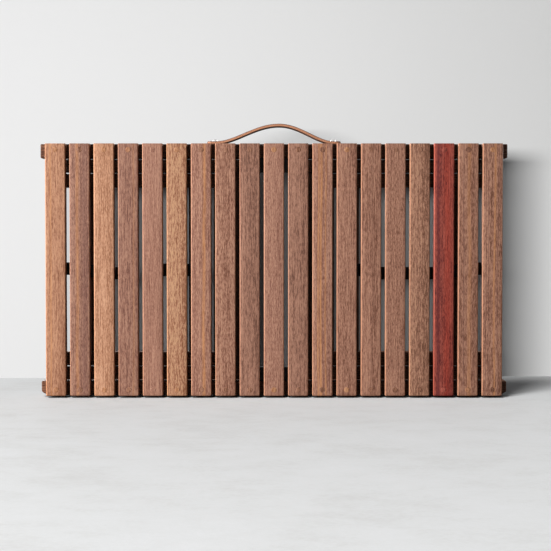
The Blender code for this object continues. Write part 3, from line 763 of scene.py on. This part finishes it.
def build_pivots():
    """Bolts with a hex socket, a washer between the two members, and a flanged barrel nut."""
    finish = steel("bolt_steel", (188, 187, 184))
    for node in sorted(frame["nodes"]):
        if "pivot" not in node:
            continue
        low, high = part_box(node)
        outward = 1 if node.endswith("upper") else -1
        outer = high.z if outward > 0 else low.z
        length = high.z - low.z
        washer = RAIL_BOLT_TO_WASHER if "rail" in node else CROSS_BOLT_TO_WASHER
        profile = dome(BOLT_HEAD_RADIUS, BOLT_HEAD_HEIGHT) + [
            (BOLT_RADIUS, BOLT_HEAD_HEIGHT),
            (BOLT_RADIUS, washer - WASHER_HALF_THICKNESS),
            (WASHER_RADIUS - METAL_EDGE, washer - WASHER_HALF_THICKNESS),
            (WASHER_RADIUS, washer - WASHER_HALF_THICKNESS * 0.7),
            (WASHER_RADIUS, washer + WASHER_HALF_THICKNESS * 0.7),
            (WASHER_RADIUS - METAL_EDGE, washer + WASHER_HALF_THICKNESS),
            (BOLT_RADIUS, washer + WASHER_HALF_THICKNESS),
            (BOLT_RADIUS, length - NUT_LENGTH),
            (NUT_RADIUS, length - NUT_LENGTH),
            (NUT_RADIUS, length - NUT_FLANGE_HEIGHT),
            (NUT_FLANGE_RADIUS, length - NUT_FLANGE_HEIGHT),
            (NUT_FLANGE_RADIUS, length - METAL_EDGE),
            (NUT_FLANGE_RADIUS - METAL_EDGE, length),
        ]
        nut_socket = turned([
            (KEY_SOCKET_RADIUS, length - NUT_SOCKET_DEPTH),
            (KEY_SOCKET_RADIUS, length + SMALL_MARGIN),
        ], 6)
        place = ((low.x + high.x) / 2, (low.y + high.y) / 2, outer)
        sockets = [hex_socket(KEY_SOCKET_DEPTH), nut_socket]
        fastener(f"{node}_bolt", node, profile, place, (0, 0, -outward), finish, sockets)


def build_screws():
    """The handle's slotted dome screws, and the screws that hold the straps."""
    bright = steel("screw_steel", (236, 235, 233))
    plain = steel("strap_screw_steel", (170, 168, 164), "y")
    for node in sorted(frame["nodes"]):
        low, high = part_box(node)
        middle = (low + high) / 2
        if node.startswith("handle_screw"):
            height, shank, length = HANDLE_HEAD_HEIGHT, HANDLE_SCREW_SHANK, high.z - low.z + HANDLE_SCREW_LIFT
            place, direction, finish = (middle.x, middle.y, high.z + HANDLE_SCREW_LIFT), (0, 0, -1), bright
        elif "tie_screw" in node:
            height, shank, length = STRAP_SCREW_HEAD_HEIGHT, STRAP_SCREW_SHANK, high.y - low.y
            place, direction, finish = (middle.x, high.y, middle.z), (0, -1, 0), plain
        else:
            continue
        head = (high.x - low.x) / 2
        profile = dome(head, height) + [
            (shank, height),
            (shank, length - SCREW_TIP_LENGTH),
            (SCREW_TIP_RADIUS, length),
        ]
        slot = slot_cutter(head * 2, SCREW_SLOT_HALF_WIDTH, height * SCREW_SLOT_SHARE)
        fastener(f"{node}_turned", node, profile, place, direction, finish, [slot])


def strap_height(x):
    """How far an outer strap lies above its screw's height, x metres from the table's middle.

    The table stands on its edge, so that the strap's loose end hangs a little lower than its fixed end.
    """
    share = min(max((abs(x) - SAG_LOW_X) / (SAG_HIGH_X - SAG_LOW_X), 0), 1)
    return (STRAP_FIXED_LIFT + STRAP_LOOSE_DROP) * share * share * (3 - 2 * share) - STRAP_LOOSE_DROP


def build_straps():
    """Flat webbing straps against the slats' backs, with a wire slider on each inner one."""
    cloth = webbing("black_polyester")
    metal = steel("slider_steel", (150, 149, 147))
    for node in sorted(frame["nodes"]):
        if "tie_strap" not in node:
            continue
        low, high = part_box(node)
        middle = (low + high) / 2
        half = (high - low) / 2
        form = bmesh.new()
        rings = []
        first, last = low.x + WEBBING_END_LENGTH, high.x - WEBBING_END_LENGTH
        shares = [step / STRAP_STATIONS for step in range(STRAP_STATIONS + 1)]
        stations = [(first + (last - first) * share, 0.0) for share in shares]
        for x, inset in [(low.x, WEBBING_END_INSET), *stations, (high.x, WEBBING_END_INSET)]:
            outline = rounded_rectangle(half.y - inset, half.z - inset, WEBBING_EDGE_RADIUS - inset, 3)
            height = middle.z + (strap_height(x) if node.endswith("outer") else 0.0)
            rings.append([Vector((x, middle.y + y, height + z)) for y, z in outline])
        skin(form, rings)
        strap = object_from(f"{node}_webbing", form, cloth)
        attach(strap, "tabletop")
        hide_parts(node)
        if node.endswith("inner"):
            build_slider(f"{node}_slider", node, metal)


def build_slider(name, node, finish):
    """A metal frame round a strap, near its loose end, with a bar that the strap runs over."""
    low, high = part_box(node)
    side = -1 if high.x < 0 else 1
    loose_x = max(abs(low.x), abs(high.x))
    middle_x = side * (loose_x - SLIDER_INSET)
    middle_z = (low.z + high.z) / 2
    near = high.y + SLIDER_CLEARANCE
    far = near + SLIDER_THICKNESS
    half_z = (high.z - low.z) / 2 + SLIDER_OVERHANG
    half_x = SLIDER_LENGTH / 2
    form = bmesh.new()
    rings = []
    for depth, inset in (
        (near, SLIDER_EDGE),
        (near + SLIDER_EDGE, 0),
        (far - SLIDER_EDGE, 0),
        (far, SLIDER_EDGE),
    ):
        ring = rounded_rectangle(half_x - inset, half_z - inset, SLIDER_CORNER, 4)
        rings.append([Vector((middle_x + x, depth, middle_z + z)) for x, z in ring])
    skin(form, rings)
    slider = object_from(name, form, finish)
    windows = []
    window_half_x = (half_x - SLIDER_BAR * 1.5) / 2
    for sign in (-1, 1):
        centre_x = middle_x + sign * (SLIDER_BAR / 2 + window_half_x)
        window = bmesh.new()
        corners = rounded_rectangle(window_half_x, half_z - SLIDER_BAR, SLIDER_WINDOW_CORNER, 3)
        ends = (near - SMALL_MARGIN, far + SMALL_MARGIN)
        skin(window, [[Vector((centre_x + x, depth, middle_z + z)) for x, z in corners] for depth in ends])
        windows.append(window)
    cut(slider, windows)
    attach(slider, "tabletop")


def dress_catches():
    """Rubber on the two blocks between the tips of the outer legs."""
    finish = rubber("catch_rubber")
    for name, node in frame["nodes"].items():
        if "catch" in name:
            node.data.materials.clear()
            node.data.materials.append(finish)


def light(name, place, target, size, power, onto, bounces):
    """A softbox that faces a point and lights only the objects in onto, which reflect it so many times.

    Multiple importance sampling is off because it counts light twice where a lamp lights only some objects.
    """
    data = bpy.data.lights.new(name, "AREA")
    data.shape = "RECTANGLE"
    data.size, data.size_y = size
    data.energy = power
    data.cycles.use_multiple_importance_sampling = False
    data.cycles.max_bounces = bounces
    lamp = bpy.data.objects.new(name, data)
    bpy.context.scene.collection.objects.link(lamp)
    lamp.location = place
    lamp.rotation_euler = (Vector(target) - Vector(place)).to_track_quat("-Z", "Y").to_euler()
    receivers = bpy.data.collections.new(f"{name}_receivers")
    for lit in onto:
        receivers.objects.link(lit)
    lamp.light_linking.receiver_collection = receivers


def build_lights(floor, wall):
    """Window light from the left, with lamps of their own for the wall, the floor and the table.

    The wall's lamp stands more in front, so that the table's shadow falls close beside it. Two weak lamps
    behind the table show its legs in views from there.
    """
    middle = TABLE_MIDDLE
    meshes = [item for item in bpy.context.scene.objects if item.type == "MESH"]
    table = [item for item in meshes if item not in (floor, wall)]
    light("window_on_wall", (-0.56, -3.25, 0.46), middle, (1.00, 0.30), WALL_POWER, [wall], 1)
    light("window_on_floor", (-2.9, -4.3, 1.90), middle, (1.2, 1.2), FLOOR_POWER, [floor], 0)
    light("ceiling", (-3.2, -4.9, 8.0), (0, -0.3, 0), (3.4, 3.4), CEILING_POWER, [floor], 0)
    light("window_on_table", (-3.6, -3.1, 0.95), middle, (1.2, 1.2), TABLE_KEY_POWER, table, 0)
    light("side_on_table", (-4.2, -1.35, 0.9), middle, (1.8, 2.0), TABLE_SIDE_POWER, table, MANY_BOUNCES)
    light("behind_left", (-1.6, 2.2, 1.6), middle, (1.8, 1.8), BEHIND_LEFT_POWER, table, 0)
    light("behind_right", (2.6, 1.3, 1.5), middle, (1.6, 1.6), BEHIND_RIGHT_POWER, table, 0)


def build_world():
    """Faint light from all round, and a pale grey that the camera and shiny surfaces see instead of it."""
    world = bpy.data.worlds.new("studio")
    bpy.context.scene.world = world
    world.use_nodes = True
    nodes = world.node_tree.nodes
    links = world.node_tree.links
    around = nodes["Background"]
    around.inputs["Color"].default_value = (0.95, 0.975, 1.0, 1.0)
    around.inputs["Strength"].default_value = WORLD_STRENGTH
    backdrop = nodes.new("ShaderNodeBackground")
    backdrop.inputs["Color"].default_value = (0.80, 0.80, 0.80, 1.0)
    path = nodes.new("ShaderNodeLightPath")
    seen = nodes.new("ShaderNodeMath")
    seen.operation = "MAXIMUM"
    links.new(path.outputs["Is Camera Ray"], seen.inputs[0])
    links.new(path.outputs["Is Glossy Ray"], seen.inputs[1])
    mix = nodes.new("ShaderNodeMixShader")
    links.new(seen.outputs[0], mix.inputs[0])
    links.new(around.outputs[0], mix.inputs[1])
    links.new(backdrop.outputs[0], mix.inputs[2])
    links.new(mix.outputs[0], nodes["World Output"].inputs["Surface"])


def plane(name, corners, material):
    """A flat piece of the room."""
    form = bmesh.new()
    form.faces.new([form.verts.new(corner) for corner in corners])
    data = bpy.data.meshes.new(name)
    form.to_mesh(data)
    form.free()
    made = bpy.data.objects.new(name, data)
    bpy.context.scene.collection.objects.link(made)
    made.data.materials.append(material)
    return made


def floor_finish():
    """Pale smooth screed, a little blotchy."""
    graph = Graph("screed")
    place = graph.object_place()
    clouds = graph.noise(place, (5, 5, 5), 5.0, 0.62)
    stains = graph.noise(place, (14, 22, 14), 4.0, 0.6)
    specks = graph.noise(place, (160, 160, 160), 2.0)
    level = graph.math("ADD", graph.math("MULTIPLY", clouds, 0.6), graph.math("MULTIPLY", stains, 0.4))
    level = graph.math("ADD", level, graph.math("MULTIPLY", graph.math("SUBTRACT", specks, 0.5), 0.20))
    graph.set(Base_Color=graph.ramp(level, [
        (0.30, daylight(218, 218, 217)),
        (0.50, daylight(228, 229, 229)),
        (0.72, daylight(233, 234, 235)),
    ]))
    graph.set(Roughness=0.62, Specular_IOR_Level=0.25)
    graph.bump(specks, 0.0002)
    return graph.material


def wall_finish():
    """White paint, greyed towards +X by painted shade, as the window light falls off away from -X.

    It is seen from the room only, so that views from behind show the object.
    """
    graph = Graph("white_wall")
    place = graph.object_place()
    roller = graph.noise(place, (90, 90, 90), 3.0)
    clouds = graph.noise(place, (2.2, 2.2, 2.2), 3.0)
    # Painted shade: the paint greys from 240 to 222 across X = -0.8 to 0.8 m, away from the window lamps.
    away = graph.add("ShaderNodeMapRange", {"Value": graph.split(place)[0], 1: -0.8, 2: 0.8}).outputs[0]
    tone = graph.math("ADD", away, graph.math("MULTIPLY", graph.math("SUBTRACT", clouds, 0.5), 0.2))
    stops = [(0.0, daylight(240, 240, 240)), (1.0, daylight(222, 222, 221))]
    graph.set(Base_Color=graph.ramp(tone, stops), Roughness=0.8, Specular_IOR_Level=0.1)
    graph.bump(roller, 0.0002)
    path = graph.add("ShaderNodeLightPath", {})
    behind = graph.add("ShaderNodeNewGeometry", {}).outputs["Backfacing"]
    unseen = graph.math("MULTIPLY", behind, path.outputs["Is Camera Ray"])
    clear = graph.add("ShaderNodeBsdfTransparent", {})
    mix = graph.add("ShaderNodeMixShader", {0: unseen, 1: graph.shader.outputs[0], 2: clear.outputs[0]})
    graph.links.new(mix.outputs[0], graph.output.inputs["Surface"])
    return graph.material


def build_room():
    """The floor, a little below the slats' ends because of the dark line under them, and the wall."""
    reach = FLOOR_HALF_LENGTH
    ground = -FLOOR_DROP
    corners = ((-reach, -reach), (reach, -reach), (reach, reach), (-reach, reach))
    floor = plane("floor", [(x, y, ground) for x, y in corners], floor_finish())
    half = WALL_HALF_LENGTH
    rise = half * math.tan(WALL_TURN)
    back = WALL_DISTANCE
    wall_corners = [
        (-half, back - rise, ground),
        (half, back + rise, ground),
        (half, back + rise, WALL_HEIGHT),
        (-half, back - rise, WALL_HEIGHT),
    ]
    wall = plane("wall", wall_corners, wall_finish())
    wall.visible_shadow = False
    wall.visible_diffuse = False
    return floor, wall


def build_camera():
    """The photo's camera, level but for a small tilt down."""
    data = bpy.data.cameras.new("photo_camera")
    data.sensor_width = SENSOR_WIDTH
    data.lens = FOCAL_PIXELS / IMAGE_SIZE * SENSOR_WIDTH
    camera = bpy.data.objects.new("photo_camera", data)
    bpy.context.scene.collection.objects.link(camera)
    slat_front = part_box("slat_10")[0].y + PLUG_RISE
    camera.location = (CAMERA_SIDE, slat_front - CAMERA_DISTANCE, CAMERA_HEIGHT)
    camera.rotation_euler = (math.pi / 2 - CAMERA_PITCH, 0, 0)
    bpy.context.scene.camera = camera


build_slats()
build_handle()
build_pivots()
build_screws()
build_straps()
dress_frame()
dress_catches()
floor, wall = build_room()
build_world()
build_lights(floor, wall)
build_camera()

bpy.context.scene.view_settings.view_transform = "Standard"
